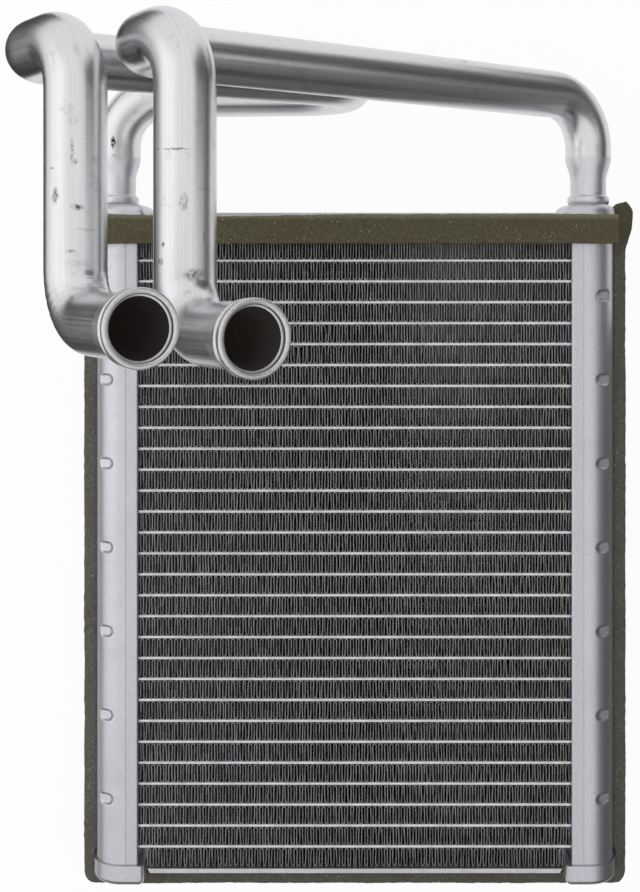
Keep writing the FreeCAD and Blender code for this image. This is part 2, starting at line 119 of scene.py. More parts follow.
def paint(add: Adder, under: Value, *coats: tuple[Value, Value]) -> Value:
    """Lays coats of colour over one another.

    Args:
        add: adds a node to the material.
        under: the lowest colour, a socket or sRGB hex.
        coats: for each coat, its share from 0 to 1 and its colour.

    Returns:
        The colour that results.
    """
    for share, colour in coats:
        under = add("ShaderNodeMix", {0: share, 6: under, 7: colour}, output=2, data_type="RGBA")
    return under


def empty_material(name: str) -> tuple[bpy.types.Material, Adder]:
    """Makes a material with no nodes, and gives it with the function that adds a node to it."""
    material = bpy.data.materials.new(name)
    material.use_nodes = True
    material.node_tree.nodes.clear()
    return material, partial(add_node, material.node_tree)


@dataclass(frozen=True)
class Finish:
    """What every finish shares: its material's name, and a Principled BSDF that takes its inputs."""

    name: str

    def inputs(self, add: Adder) -> dict[str, Value]:
        """Adds the finish's own nodes to an empty material.

        Args:
            add: adds a node to the material.

        Returns:
            A socket or a value for each input of the Principled node that the finish sets.
        """
        raise NotImplementedError

    def material(self) -> bpy.types.Material:
        """Builds the material."""
        material, add = empty_material(self.name)
        add("ShaderNodeOutputMaterial", {"Surface": add("ShaderNodeBsdfPrincipled", self.inputs(add))})
        return material


@dataclass(frozen=True)
class BrazedAluminium(Finish):
    """Aluminium sheet after the brazing oven: dull and violet-grey, with a fine speckle of flux.

    To the eye it is a soft satin metal with no sharp reflections.
    """

    base: str = "#CFCFD5"
    shade: str = "#C3C3C9"
    stain: str = "#BDBBBE"
    roughness: tuple[float, float] = (0.36, 0.48)
    speckle_mm: float = 0.55
    stain_mm: float = 14.0
    bump_mm: float = 0.012

    def inputs(self, add: Adder) -> dict[str, Value]:
        """Adds the speckle, which is also the relief, and the clouds of stain."""
        place = add("ShaderNodeTexCoord", output="Object")
        speckle = add("ShaderNodeTexNoise", {
            "Vector": place, "Scale": per_size(self.speckle_mm), "Detail": 3.0, "Roughness": 0.65})
        clouds = add("ShaderNodeTexNoise", {
            "Vector": place, "Scale": per_size(self.stain_mm), "Detail": 4.0, "Roughness": 0.6})
        grain = add("ShaderNodeMapRange", (speckle, 0.35, 0.68))
        stained = add("ShaderNodeMapRange", (clouds, 0.48, 0.72, 0.0, 0.55))
        return {
            "Base Color": paint(add, self.shade, (grain, self.base), (stained, self.stain)),
            "Metallic": 1.0,
            "Roughness": add("ShaderNodeMapRange", (speckle, 0.3, 0.7, *self.roughness[::-1])),
            "Normal": add("ShaderNodeBump", {
                "Height": speckle, "Strength": 0.6, "Distance": self.bump_mm * MM})}


@dataclass(frozen=True)
class RolledAluminium(Finish):
    """Rolled or extruded aluminium, brazed: smoother than the pressed headers, with faint lines along X.

    To the eye it is a bright satin metal, with its glint drawn out along the lines.
    """

    base: str
    shade: str
    roughness: tuple[float, float] = (0.28, 0.4)
    line_mm: float = 0.3
    patch_mm: float = 5.0
    stretch: float = 0.03

    def inputs(self, add: Adder) -> dict[str, Value]:
        """Adds the lines along X, and patches where they fade."""
        place = add("ShaderNodeTexCoord", output="Object")
        drawn = add("ShaderNodeVectorMath", (place, (self.stretch, 1.0, 1.0)), operation="MULTIPLY")
        lines = add("ShaderNodeTexNoise", {
            "Vector": drawn, "Scale": per_size(self.line_mm), "Detail": 3.0, "Roughness": 0.6})
        patches = add("ShaderNodeTexNoise", {
            "Vector": place, "Scale": per_size(self.patch_mm), "Detail": 3.0, "Roughness": 0.6})
        mixed = add("ShaderNodeMath", (lines, patches), operation="MULTIPLY")
        tone = add("ShaderNodeMapRange", (mixed, 0.15, 0.35))
        return {
            "Base Color": paint(add, self.shade, (tone, self.base)),
            "Metallic": 1.0,
            "Roughness": add("ShaderNodeMapRange", (lines, 0.3, 0.7, *self.roughness))}


@dataclass(frozen=True)
class FinFoil(Finish):
    """Rolled aluminium foil, folded: each fold's tone at its cut front edge, painted light just behind it,
    and painted shade further in between the folds.

    Each fold differs a little in tone, and dust gives some of them a warm or a blue cast.
    """

    edge: str = "#898A8A"
    # inner is a painted light tone behind the front edges; the deep tone is painted shade further in between
    # the folds.
    inner: str = "#B5B6B6"
    deep_painted_shade: str = "#9FA0A0"
    warm: str = "#878275"
    cool: str = "#7B828C"
    dull: str = "#646565"
    bright: str = "#939495"
    dust: str = "#666663"
    metallic: float = 0.7
    roughness: float = 0.5
    front_mm: float = 24.65
    edge_mm: float = 0.5
    fade_mm: float = 5.0
    fold_mm: float = 0.98
    row_mm: float = 7.27
    dust_mm: float = 9.0
    scatter: tuple[float, float, float] = (997.0, 613.0, 0.0)

    def inputs(self, add: Adder) -> dict[str, Value]:
        """Adds a tone for each fold, and painted light and shade by depth behind the front face.

        Args:
            add: adds a node to the material.

        Returns:
            A socket or a value for each input that the finish sets.
        """
        place = add("ShaderNodeTexCoord", output="Object")
        steps = (self.fold_mm * MM, self.row_mm * MM, 1.0)
        cell = add("ShaderNodeVectorMath", (place, steps), operation="SNAP")
        spread = add("ShaderNodeVectorMath", (cell, self.scatter), operation="MULTIPLY")
        chance = add("ShaderNodeTexWhiteNoise", {"Vector": spread}, "Value", noise_dimensions="3D")
        tinted = add("ShaderNodeValToRGB", (chance,), stops=(
            (0.0, self.cool), (0.12, self.edge), (0.45, self.dull), (0.7, self.edge), (0.9, self.bright),
            (1.0, self.warm)))
        dust = add("ShaderNodeTexNoise", {"Vector": place, "Scale": per_size(self.dust_mm), "Detail": 4.0})
        tinted = paint(add, tinted, (add("ShaderNodeMapRange", (dust, 0.45, 0.7, 0.0, 0.45)), self.dust))
        # Painted light and shade by depth: lighter just behind the front edges, darker further in between the
        # folds.
        depth = add("ShaderNodeSeparateXYZ", (place,), "Z")
        front, edge = self.front_mm * MM, self.edge_mm * MM
        near = add("ShaderNodeMapRange", (depth, front - edge, front - 0.1 * edge))
        painted_depth_shading = add("ShaderNodeMapRange", (depth, front - self.fade_mm * MM, front - edge))
        return {
            "Base Color": paint(add, self.deep_painted_shade, (painted_depth_shading, self.inner), (near, tinted)),
            "Metallic": self.metallic,
            "Roughness": self.roughness}


@dataclass(frozen=True)
class Smudge:
    """A dark rub mark on a pipe, seen from the front: middle, half size and depth in mm, and strength."""

    x: float
    y: float
    half_width: float
    half_height: float
    strength: float
    depth: float = 159.0


@dataclass(frozen=True)
class DrawnTube(Finish):
    """Drawn aluminium tube: bright satin, with fine die lines along it and small scuffs from handling.

    To the eye it mirrors the room in soft streaks, broken by a few dark rub marks.
    """

    base: str = "#DCDCDE"
    shade: str = "#D3D3D6"
    scuff: str = "#AAA9AE"
    grime: str = "#212023"
    roughness: tuple[float, float] = (0.22, 0.28)
    scuff_roughness: float = 0.12
    stretch: float = 0.012
    line_mm: float = 0.45
    scuff_mm: float = 6.0
    grit_mm: float = 0.5
    bump_mm: float = 0.0025
    smudges: tuple[Smudge, ...] = ()
    smudge_reach: float = 7.0
    smudge_ragged: float = 1.5
    ragged_mm: float = 1.3
    broken_mm: float = 0.9

    def rubbed_places(self, add: Adder) -> Socket:
        """How strongly each place is smudged, from 0 to 1, with ragged edges.

        Args:
            add: adds a node to the material.

        Returns:
            The strength.
        """
        place = add("ShaderNodeTexCoord", output="Object")
        ragged = add("ShaderNodeTexNoise", {
            "Vector": place, "Scale": per_size(self.ragged_mm), "Detail": 4.0, "Roughness": 0.75}, "Color")
        shift = add("ShaderNodeVectorMath", (ragged, (0.5, 0.5, 0.5)), operation="SUBTRACT")
        shift = add("ShaderNodeVectorMath", (shift, (self.smudge_ragged * MM,) * 3), operation="MULTIPLY")
        moved = add("ShaderNodeVectorMath", (place, shift), operation="ADD")
        total = 0.0
        for smudge in self.smudges:
            middle = (smudge.x * MM, smudge.y * MM, smudge.depth * MM)
            reach = (smudge.half_width, smudge.half_height, self.smudge_reach)
            scale = tuple(per_size(r) for r in reach)
            away = add("ShaderNodeVectorMath", (moved, middle), operation="SUBTRACT")
            away = add("ShaderNodeVectorMath", (away, scale), operation="MULTIPLY")
            away = add("ShaderNodeVectorMath", (away,), "Value", operation="LENGTH")
            strength = add("ShaderNodeMapRange", (away, 0.85, 1.4, 1.35 * smudge.strength, 0.0))
            total = add("ShaderNodeMath", (total, strength), operation="MAXIMUM")
        broken = add("ShaderNodeTexNoise", {
            "Vector": place, "Scale": per_size(self.broken_mm), "Detail": 3.0, "Roughness": 0.7})
        broken = add("ShaderNodeMapRange", (broken, 0.4, 0.52, 0.25, 1.0))
        return add("ShaderNodeMath", (total, broken), operation="MULTIPLY")

    def inputs(self, add: Adder) -> dict[str, Value]:
        """Adds lines and scuffs on the straightened-out place that the pipe's mesh carries, and the smudges.

        Args:
            add: adds a node to the material.

        Returns:
            A socket or a value for each input that the finish sets.
        """
        place = add("ShaderNodeAttribute", output="Vector", attribute_name=Pipe.LAY)
        drawn = add("ShaderNodeVectorMath", (place, (self.stretch, 1.0, 1.0)), operation="MULTIPLY")
        lines = add("ShaderNodeTexNoise", {
            "Vector": drawn, "Scale": per_size(self.line_mm), "Detail": 2.0, "Roughness": 0.55})
        rubbed = add("ShaderNodeTexNoise", {
            "Vector": place, "Scale": per_size(self.scuff_mm), "Detail": 6.0, "Roughness": 0.72})
        grit = add("ShaderNodeTexNoise", {
            "Vector": place, "Scale": per_size(self.grit_mm), "Detail": 3.0, "Roughness": 0.7})
        tone = add("ShaderNodeMapRange", (lines, 0.34, 0.62))
        worn = add("ShaderNodeMapRange", (rubbed, 0.58, 0.7, 0.0, 0.55))
        grimy = self.rubbed_places(add)
        rough = add("ShaderNodeMapRange", (lines, 0.3, 0.7, *self.roughness))
        rougher = add("ShaderNodeMath", (rubbed, self.scuff_roughness), operation="MULTIPLY")
        height = add("ShaderNodeMath", (lines, grit), operation="ADD")
        return {
            "Base Color": paint(add, self.shade, (tone, self.base), (worn, self.scuff), (grimy, self.grime)),
            "Metallic": 1.0,
            "Roughness": add("ShaderNodeMath", (rough, rougher), operation="ADD"),
            "Normal": add("ShaderNodeBump", {
                "Height": height, "Strength": 0.2, "Distance": self.bump_mm * MM})}


@dataclass(frozen=True)
class FormedEnd(Finish):
    """The pipe's rolled mouth: matt where the tool has worked the metal."""

    base: str = "#D9D9D7"
    shade: str = "#C4C4C2"
    roughness: float = 0.36
    grit_mm: float = 0.8
    bump_mm: float = 0.01

    def inputs(self, add: Adder) -> dict[str, Value]:
        """Adds the grit."""
        place = add("ShaderNodeTexCoord", output="Object")
        grit = add("ShaderNodeTexNoise", {
            "Vector": place, "Scale": per_size(self.grit_mm), "Detail": 4.0, "Roughness": 0.7})
        return {
            "Base Color": paint(add, self.shade, (add("ShaderNodeMapRange", (grit, 0.35, 0.65)), self.base)),
            "Metallic": 1.0,
            "Roughness": self.roughness,
            "Normal": add("ShaderNodeBump", {"Height": grit, "Strength": 0.5, "Distance": self.bump_mm * MM})}


@dataclass(frozen=True)
class PaintedShadeBore(Finish):
    """The pipe's bore: painted dark as shade behind the bright edge of the mouth, and painted lighter further
    in, as painted light.
    """

    # Dark tones painted as shade inside the mouth; inner is a painted light tone further in.
    base: str = "#514D4B"
    shade: str = "#3C3937"
    inner: str = "#D4CAC6"
    mouth_mm: float = 184.0
    fade_mm: float = 30.0
    grit_mm: float = 1.2
    metallic: float = 0.8
    roughness: float = 0.35

    def inputs(self, add: Adder) -> dict[str, Value]:
        """Adds the painted shade near the mouth, which fades to painted light further in."""
        place = add("ShaderNodeTexCoord", output="Object")
        grit = add("ShaderNodeTexNoise", {"Vector": place, "Scale": per_size(self.grit_mm), "Detail": 4.0})
        depth = add("ShaderNodeSeparateXYZ", (place,), "Z")
        mouth = self.mouth_mm * MM
        # Painted shade near the mouth fades to painted light further in.
        inside = add("ShaderNodeMapRange", (depth, mouth - self.fade_mm * MM, mouth, 1.0, 0.0))
        return {
            "Base Color": paint(add, self.shade, (grit, self.base), (inside, self.inner)),
            "Metallic": self.metallic,
            "Roughness": self.roughness}


@dataclass(frozen=True)
class SpongeFoam(Finish):
    """Polyurethane sealing foam, cut from sheet: open cells under a millimetre across, dusty olive-brown.

    The cells give a matt, grainy face with pale specks where a cell's wall catches the light.
    """

    base: str = "#62605A"
    light: str = "#7C7A70"
    dark: str = "#454339"
    cast: str = "#5E5450"
    speck: str = "#B5B2A6"
    # tip is laid on by height near the top: a painted highlight on the top strip's upper edge, a darker olive
    # on the surround.
    tip: str = "#7C7A70"
    top_tone_and_highlight_share: float = 0.0
    top_tone_and_highlight_mm: tuple[float, float] = (0.0, 1.0)
    roughness: float = 0.95
    specular: float = 0.25
    cell_mm: float = 0.8
    patch_mm: float = 9.0
    cast_mm: float = 23.0
    speck_mm: float = 0.75
    bump_mm: float = 0.22

    def inputs(self, add: Adder) -> dict[str, Value]:
        """Adds the cells, patches of other tones, a tone by height near the top, which is a painted highlight
        on the top strip, and specks.

        Args:
            add: adds a node to the material.

        Returns:
            A socket or a value for each input that the finish sets.
        """
        place = add("ShaderNodeTexCoord", output="Object")
        cells = add("ShaderNodeTexVoronoi", {"Vector": place, "Scale": per_size(self.cell_mm)}, "Distance")
        grain = add("ShaderNodeTexNoise", {
            "Vector": place, "Scale": per_size(self.cell_mm * 0.9), "Detail": 4.0, "Roughness": 0.7})
        patches, casts, specks = (
            add("ShaderNodeTexNoise", {"Vector": place, "Scale": per_size(size), "Detail": detail})
            for size, detail in ((self.patch_mm, 4.0), (self.cast_mm, 3.0), (self.speck_mm, 1.0)))
        height = add("ShaderNodeSeparateXYZ", (place,), "Y")
        low, high = self.top_tone_and_highlight_mm
        cellular = add("ShaderNodeMath", (grain, cells), operation="SUBTRACT")
        return {
            "Base Color": paint(
                add, self.dark,
                (add("ShaderNodeMapRange", (grain, 0.3, 0.7)), self.light),
                (add("ShaderNodeMapRange", (patches, 0.35, 0.7, 0.1, 0.75)), self.base),
                (add("ShaderNodeMapRange", (casts, 0.5, 0.68, 0.0, 0.5)), self.cast),
                # The top tone: a painted highlight on the top strip, a darker olive on the surround.
                (add("ShaderNodeMapRange", (height, low * MM, high * MM, 0.0, self.top_tone_and_highlight_share)), self.tip),
                (add("ShaderNodeMapRange", (specks, 0.71, 0.77, 0.0, 0.8)), self.speck)),
            "Roughness": self.roughness,
            "Specular IOR Level": self.specular,
            "Normal": add("ShaderNodeBump", {
                "Height": cellular, "Strength": 0.8, "Distance": self.bump_mm * MM})}


def add_object(name: str, data: bpy.types.ID) -> bpy.types.Object:
    """Makes an object of a mesh, lamp or camera and links it to the scene."""
    made = bpy.data.objects.new(name, data)
    bpy.context.scene.collection.objects.link(made)
    return made


def quarter_turn(steps: int) -> list[float]:
    """Angles from 0 to a right angle, in radians, in equal steps."""
    return [math.pi / 2 * k / steps for k in range(steps + 1)]


def loft_faces(rings: int, count: int) -> list[tuple[int, ...]]:
    """Closes a skin over a stack of rings.

    Args:
        rings: how many rings there are.
        count: how many vertices each of them has.

    Returns:
        The sides, ring by ring, and then the two ends.
    """
    faces = []
    for ring in range(rings - 1):
        for corner in range(count):
            here, beside = ring * count + corner, ring * count + (corner + 1) % count
            faces.append((here, beside, beside + count, here + count))
    last = (rings - 1) * count
    return faces + [tuple(range(count))[::-1], tuple(range(last, last + count))]


def make_object(
    name: str,
    vertices: Sequence[Sequence[float]],
    faces: Sequence[Sequence[int]],
    materials: Sequence[bpy.types.Material],
    chosen: Sequence[int] = (),
    crease: float = 40.0,
) -> bpy.types.Object:
    """Makes a mesh object from points in millimetres.

    Args:
        name: the piece's name.
        vertices: points in the shared frame.
        faces: corner numbers, turned so that normals point outwards.
        materials: the object's materials.
        chosen: which material each face takes, where there is more than one.
        crease: edges sharper than this many degrees stay sharp.

    Returns:
        The object, linked to the scene.
    """
    mesh = bpy.data.meshes.new(name)
    mesh.from_pydata([tuple(c * MM for c in v) for v in vertices], [], [tuple(f) for f in faces])
    for material in materials:
        mesh.materials.append(material)
    if len(chosen):
        mesh.polygons.foreach_set("material_index", list(chosen))
    mesh.shade_smooth()
    mesh.set_sharp_from_angle(angle=math.radians(crease))
    mesh.update()
    return add_object(name, mesh)


def finish_piece(piece: bpy.types.Object, node: str) -> None:
    """Rides a piece on the core and says which CAD node it stands for."""
    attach(piece, ROOT)
    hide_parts(node)
    log.info("%s: %d faces, in place of %s", piece.name, len(piece.data.polygons), node)


def dress_nodes(names: Sequence[str], material: bpy.types.Material) -> None:
    """Gives CAD nodes a material in place of their plain one."""
    for name in names:
        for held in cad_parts[name].material_slots:
            held.material = material
    log.info("%s on %s", material.name, ", ".join(names) if len(names) < 5 else f"{len(names)} nodes")


@dataclass
class CoreSizes:
    """Sizes shared by the block, the headers and the pipes, in millimetres, as the source has them."""

    tube_count: int = 30
    tube_pitch: float = 7.27
    tube_thickness: float = 1.4
    core_width: float = 149.8
    header_width: float = 16.0
    header_end: float = 114.015
    cap_end: float = 117.815
    back: float = 0.85
    front: float = 26.85
    fin_back: float = 3.05
    fin_front: float = 24.65

    @property
    def last_tube(self) -> float:
        """Height of the top tube's middle."""
        return self.tube_pitch * (self.tube_count - 1) / 2

    @property
    def plate_face(self) -> float:
        """Distance of the header plates' inner faces from the middle."""
        return self.core_width / 2

    @property
    def header_outer(self) -> float:
        """Distance of the tanks' outer faces from the middle."""
        return self.plate_face + self.header_width

    @property
    def mid_depth(self) -> float:
        """Depth of the headers' middle plane."""
        return (self.back + self.front) / 2


@dataclass
class Tubes:
    """The flat coolant tubes between the headers."""

    sizes: CoreSizes

    def dress(self) -> None:
        """Gives the CAD tubes their metal."""
        metal = RolledAluminium("extruded_aluminium_tube", base="#D7D9D9", shade="#B9BBBC").material()
        dress_nodes([f"tube_{i + 1:02d}" for i in range(self.sizes.tube_count)], metal)


@dataclass
class SidePlates:
    """The flat strips above and below the block."""

    def dress(self) -> None:
        """Gives the CAD side plates their metal."""
        metal = RolledAluminium("rolled_aluminium_side_plate", base="#CCCCCE", shade="#B5B5B9").material()
        dress_nodes(["side_plate_bottom", "side_plate_top"], metal)


@dataclass
class FinPack:
    """The folded fins, as fine as they are: a fold about every millimetre, bent where something touched them.

    Each place in bent is x, y, reach and push in millimetres.
    """

    sizes: CoreSizes
    fold: float = 0.98
    gauge: float = 0.28
    crest_points: int = 3
    crest_height: float = 0.3
    end_row_bottom: float = 5.87
    end_row_top: float = 7.0
    end_inset: float = 2.4
    clearance: float = 0.05
    chevron: float = 0.9
    front_grown: float = 1.075
    grown_depth: float = 0.3
    bent_depth: float = 2.0
    jitter: float = 0.11
    rows_per_bank: int = 4
    seed: int = 11
    bent: tuple[tuple[float, float, float, float], ...] = ((-19.0, 67.0, 4.5, 0.5), (-8.6, 74.0, 4.0, 0.45))
    bent_squash: float = 1.3
    bent_wave: float = 2.3

    def rows(self) -> list[tuple[float, float, float]]:
        """Lower edge, upper edge and half width of every row, from the bottom."""
        sizes = self.sizes
        face = sizes.last_tube + sizes.tube_thickness / 2
        end_half = sizes.plate_face - self.end_inset
        listed = [(-face - self.end_row_bottom, -face, end_half)]
        height = sizes.tube_pitch - sizes.tube_thickness
        for i in range(sizes.tube_count - 1):
            low = -sizes.last_tube + i * sizes.tube_pitch + sizes.tube_thickness / 2
            listed.append((low, low + height, sizes.plate_face - self.clearance))
        listed.append((face, face + self.end_row_top, end_half))
        return listed

    def line(self, low: float, high: float, half: float, chance: random.Random) -> np.ndarray:
        """Middle line of one folded strip, seen from the front.

        Args:
            low: lower edge of the row.
            high: upper edge of the row.
            half: half its width.
            chance: the row's random numbers.

        Returns:
            Points as rows of x and y.
        """
        count = 2 * round(half / self.fold)
        pitch = 2 * half / count
        radius = pitch / 2
        low, high = low + self.gauge / 2, high - self.gauge / 2
        points = []
        centre = -half + radius
        for i in range(count):
            x = centre + i * pitch + chance.uniform(-self.jitter, self.jitter)
            lean = chance.uniform(-self.jitter, self.jitter)
            bottom, top = (x - lean, low + self.crest_height), (x + lean, high - self.crest_height)
            bow = (x + chance.uniform(-self.jitter, self.jitter), (low + high) / 2)
            up = i % 2 == 0
            points += [bottom, bow, top] if up else [top, bow, bottom]
            if i == count - 1:
                break
            level, side = (high - self.crest_height, 1) if up else (low + self.crest_height, -1)
            for k in range(1, self.crest_points + 1):
                turn = math.pi * k / (self.crest_points + 1)
                points.append((
                    centre + i * pitch + radius * (1 - math.cos(turn)),
                    level + side * self.crest_height * math.sin(turn)))
        return np.array(points)

    def bends(self, line: np.ndarray) -> np.ndarray:
        """Sideways bend of the front edge at each point, where the fins were touched."""
        shift = np.zeros(len(line))
        for x, y, reach, push in self.bent:
            away = np.hypot(line[:, 0] - x, (line[:, 1] - y) * self.bent_squash) / reach
            shift += push * np.clip(1 - away, 0, 1) * np.sign(np.sin(line[:, 0] * self.bent_wave + y))
        return shift

    def strip(self, line: np.ndarray, start: int) -> tuple[np.ndarray, list[tuple[int, ...]]]:
        """Thickens one middle line and carries it through the core's depth.

        Args:
            line: the strip's middle line.
            start: number of the first vertex.

        Returns:
            Vertices and faces.
        """
        run = np.gradient(line, axis=0)
        run /= np.linalg.norm(run, axis=1)[:, None]
        side = np.stack([-run[:, 1], run[:, 0]], axis=1) * self.gauge / 2
        front, back = self.sizes.fin_front, self.sizes.fin_back
        # Each level: its depth, its shift to the side, its share of the bend, and how far the row is grown.
        levels = (
            (front, 0.0, 1.0, self.front_grown), (front - self.grown_depth, 0.0, 1.0, 1.0),
            (front - self.bent_depth, self.chevron * 0.15, 0.3, 1.0),
            ((back + front) / 2, self.chevron, 0.0, 1.0), (back, 0.0, 0.0, 1.0))
        bend = self.bends(line)
        centre = (line[:, 1].min() + line[:, 1].max()) / 2
        blocks = []
        for offset in (side, -side):
            for depth, shift, bending, grown in levels:
                flat = line + offset
                across = flat[:, 0] + shift + bend * bending
                up = centre + (flat[:, 1] - centre) * grown
                blocks.append(np.column_stack([across, up, np.full(len(line), depth)]))
        vertices = np.stack(blocks, axis=1).reshape(-1, 3)
        each, last = 2 * len(levels), len(levels) - 1
        faces = []
        for k in range(len(line) - 1):
            left, left_next = start + k * each, start + (k + 1) * each
            right, right_next = left + len(levels), left_next + len(levels)
            faces.append((right, right_next, left_next, left))
            faces.append((left + last, left_next + last, right_next + last, right + last))
            for j in range(last):
                faces.append((left + j, left_next + j, left_next + j + 1, left + j + 1))
                faces.append((right + j + 1, right_next + j + 1, right_next + j, right + j))
        return vertices, faces

    def build(self) -> None:
        """Builds one piece for each CAD bank."""
        foil = FinFoil("folded_aluminium_foil", fold_mm=self.fold).material()
        rows = self.rows()
        for bank, first in enumerate(range(0, len(rows), self.rows_per_bank), start=1):
            vertices, faces, count = [], [], 0
            for number in range(first, min(first + self.rows_per_bank, len(rows))):
                low, high, half = rows[number]
                line = self.line(low, high, half, random.Random(self.seed * 100 + number))
                points, quads = self.strip(line, count)
                vertices.append(points)
                faces += quads
                count += len(points)
            piece = make_object(f"folded_fins_{bank}", np.concatenate(vertices).tolist(), faces, [foil])
            finish_piece(piece, f"fin_bank_{bank}")


class Side(Enum):
    """Which side of the core a header stands on."""

    LEFT = -1
    RIGHT = 1


@dataclass
class Header:
    """One header: its CAD plate and caps, and a pressed tank with soft dimples."""

    sizes: CoreSizes
    side: Side
    metal: bpy.types.Material
    plate_metal: bpy.types.Material
    plate_leg: float = 4.2
    wall: float = 1.5
    lap: float = 1.1
    gap: float = 0.05
    edge_round: float = 0.12
    edge_steps: int = 3
    corner: float = 10.0
    corner_steps: int = 30
    dimple_count: int = 7
    dimple_spacing: float = 4 * 7.27
    dimple_shift: float = -1.3
    dimple_height: float = 3.7
    dimple_reach: float = 7.0
    dimple_press: float = 1.7
    dimple_slope: float = 0.42
    dimple_edge: float = 1.0
    dimple_length: float = 5.2
    dimple_start: float = 0.4
    press_reach: float = 8.0
    fine_step: float = 0.2
    fine_steps: int = 16
    fine_reach: float = 3.6
    coarse_count: int = 90

    def outline(self) -> list[tuple[float, float]]:
        """The right tank's outline as (x, z), from the lap at the front round to the lap at the back."""
        seam = self.sizes.plate_face + self.plate_leg
        start = seam - self.lap
        outer = self.sizes.header_outer
        centre = outer - self.corner
        front = self.sizes.front
        lip = seam + self.gap
        half = [(start, front - self.wall / 2), (lip, front - self.wall / 2)]
        edge = self.edge_round
        for turn in quarter_turn(self.edge_steps):
            half.append((lip + edge * (1 - math.cos(turn)), front - edge * (1 - math.sin(turn))))
        half.append(((lip + centre) / 2, front))
        for turn in quarter_turn(self.corner_steps):
            half.append((centre + self.corner * math.sin(turn), front - self.corner * (1 - math.cos(turn))))
        half.append((outer, (front + self.sizes.mid_depth) / 2 - self.corner / 2))
        return half + [(x, 2 * self.sizes.mid_depth - z) for x, z in reversed(half)]

    def dimples(self) -> list[float]:
        """Heights of the dimples' middles."""
        middle = (self.dimple_count - 1) / 2
        return [(i - middle) * self.dimple_spacing + self.dimple_shift for i in range(self.dimple_count)]

    def stations(self) -> list[float]:
        """Heights at which the tank's outline is repeated, close together at the dimples."""
        steps = range(-self.fine_steps, self.fine_steps + 1)
        fine = [y + k * self.fine_step for y in self.dimples() for k in steps]
        coarse = np.linspace(-self.sizes.header_end, self.sizes.header_end, self.coarse_count)
        return sorted(fine + [y for y in coarse if all(abs(y - d) > self.fine_reach for d in self.dimples())])

    def pressed(self, x: float, y: float, z: float) -> float:
        """How far the punch moves the metal back at a place in front of the core's middle.

        Args:
            x: distance from the core's middle.
            y: height.
            z: depth of the unpressed metal.

        Returns:
            The move, in millimetres.
        """
        radius = self.dimple_height / 2
        start = self.sizes.header_outer - self.dimple_reach
        nearest = min(self.dimples(), key=lambda d: abs(d - y))
        middle = min(max(x, start + radius), start + self.dimple_length - radius)
        away = math.hypot(x - middle, y - nearest)
        share = min(max((radius - away) / self.dimple_edge + self.dimple_start, 0.0), 1.0)
        floor = self.sizes.front - self.dimple_press - self.dimple_slope * (x - start)
        return share * share * (3 - 2 * share) * max(z - floor, 0.0)

    def tank(self) -> None:
        """Builds the tank with its dimples."""
        outline, stations = self.outline(), self.stations()
        middle, sign = self.sizes.mid_depth, self.side.value
        pressed_from = self.sizes.header_outer - self.press_reach
        vertices = []
        for y in stations:
            for x, z in outline:
                press = self.pressed(x, y, middle + abs(z - middle)) if x > pressed_from else 0.0
                vertices.append((sign * x, y, z - math.copysign(press, z - middle)))
        faces = [face[::sign] for face in loft_faces(len(stations), len(outline))]
        name = self.side.name.lower()
        piece = make_object(f"pressed_tank_{name}", vertices, faces, [self.metal], crease=50.0)
        finish_piece(piece, f"tank_{name}")

    def build(self) -> None:
        """Builds the tank and dresses the plate and the caps."""
        self.tank()
        name = self.side.name.lower()
        dress_nodes([f"bottom_cap_{name}", f"top_cap_{name}"], self.metal)
        dress_nodes([f"header_plate_{name}"], self.plate_metal)


@dataclass
class Route:
    """A pipe's centre line, in millimetres: straight lengths joined by tangent arcs, as a bender makes it."""

    point: Vector
    heading: Vector
    straight_step: float = 4.0
    arc_step: float = 0.9
    length: float = 0.0
    stations: list[tuple[float, Vector, Vector]] = field(default_factory=list)

    def __post_init__(self) -> None:
        """Notes the start."""
        self.note()

    def note(self) -> None:
        """Keeps the present place as a station."""
        self.stations.append((self.length, self.point.copy(), self.heading.copy()))

    def straight(self, length: float) -> None:
        """Goes straight on."""
        steps = max(1, round(length / self.straight_step))
        for _ in range(steps):
            self.point = self.point + self.heading * (length / steps)
            self.length += length / steps
            self.note()

    def bend(self, heading: Vector, radius: float) -> None:
        """Turns to a new heading on an arc.

        Args:
            heading: unit vector to end on.
            radius: radius of the centre line.
        """
        angle = self.heading.angle(heading)
        inward = (heading - self.heading * self.heading.dot(heading)).normalized()
        centre = self.point + inward * radius
        start, along = -inward, self.heading.copy()
        steps = max(6, round(radius * angle / self.arc_step))
        for k in range(1, steps + 1):
            turn = angle * k / steps
            self.point = centre + start * (radius * math.cos(turn)) + along * (radius * math.sin(turn))
            self.heading = along * math.cos(turn) - start * math.sin(turn)
            self.length += radius * angle / steps
            self.note()

    def place(self, distance: float) -> tuple[Vector, Vector]:
        """Point and heading at a distance before the start or past the end, on the straight there."""
        edge, point, heading = self.stations[0] if distance < 0 else self.stations[-1]
        return point + heading * (distance - edge), heading


def plan_heading(angle: float, fall: float = 0.0) -> Vector:
    """Unit vector that leaves -X towards +Z by an angle, and falls by another, in degrees."""
    turn, drop = math.radians(angle), math.radians(fall)
    return Vector((-math.cos(turn) * math.cos(drop), -math.sin(drop), math.sin(turn) * math.cos(drop)))


def tangent_length(radius: float, before: Vector, after: Vector) -> float:
    """Distance from a bend's start to the corner that it rounds."""
    return radius * math.tan(before.angle(after) / 2)


